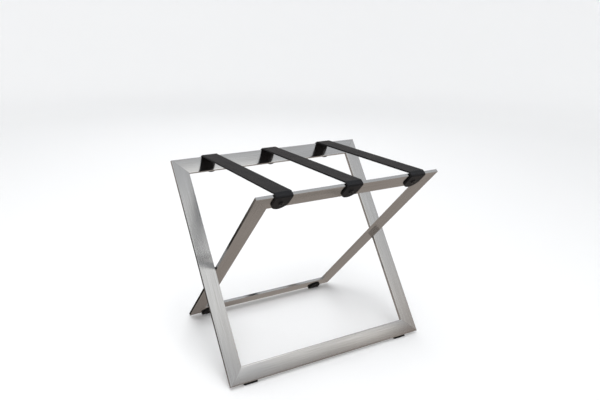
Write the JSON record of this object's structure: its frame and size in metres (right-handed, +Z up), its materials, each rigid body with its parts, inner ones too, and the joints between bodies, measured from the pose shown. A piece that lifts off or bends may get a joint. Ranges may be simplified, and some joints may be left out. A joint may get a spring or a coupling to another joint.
{
  "type": "folding luggage rack",
  "caption": "Folding X-frame luggage rack of mitred flat steel bar, hinged where its frames cross, with leather straps over the top rails and rubber feet.",
  "frame": {"origin": "on the floor, midway between the four feet, below the middle of the pivot line", "axes": "+X along the rails to the right seen from the front, +Y to the back, +Z up; the outer frame's bottom rail is at the front"},
  "size_m": [0.58, 0.3702, 0.4775],
  "materials": {
    "frame_steel": "satin, brushed along each bar",
    "pin_steel": "turned",
    "washer_nylon": "matte black",
    "strap_leather": "black, fine grain, slight gloss",
    "screw_black": "blackened, satin",
    "foot_rubber": "matte black"
  },
  "bodies": {
    "outer_frame": {"outer_left_leg": "frame_steel", "outer_right_leg": "frame_steel", "outer_top_rail": "frame_steel", "outer_bottom_rail": "frame_steel", "foot_front_left": "foot_rubber", "foot_front_right": "foot_rubber", "foot_screw_front_left": "screw_black", "foot_screw_front_right": "screw_black", "strap_screw_back_left": "screw_black", "strap_screw_back_middle": "screw_black", "strap_screw_back_right": "screw_black", "strap_left": "strap_leather", "strap_middle": "strap_leather", "strap_right": "strap_leather"},
    "inner_frame": {"inner_left_leg": "frame_steel", "inner_right_leg": "frame_steel", "inner_top_rail": "frame_steel", "inner_bottom_rail": "frame_steel", "foot_back_left": "foot_rubber", "foot_back_right": "foot_rubber", "foot_screw_back_left": "screw_black", "foot_screw_back_right": "screw_black", "strap_screw_front_left": "screw_black", "strap_screw_front_middle": "screw_black", "strap_screw_front_right": "screw_black", "pivot_pin_left": "pin_steel", "pivot_pin_right": "pin_steel", "pivot_washer_left": "washer_nylon", "pivot_washer_right": "washer_nylon"}
  },
  "joints": [
    {"name": "fold", "type": "hinge", "parent": "outer_frame", "child": "inner_frame", "pos_m": [0, 0, 0.234], "axis": [-1, 0, 0], "range_deg": [0, 68], "deforming": ["strap_left", "strap_middle", "strap_right"]}
  ]
}
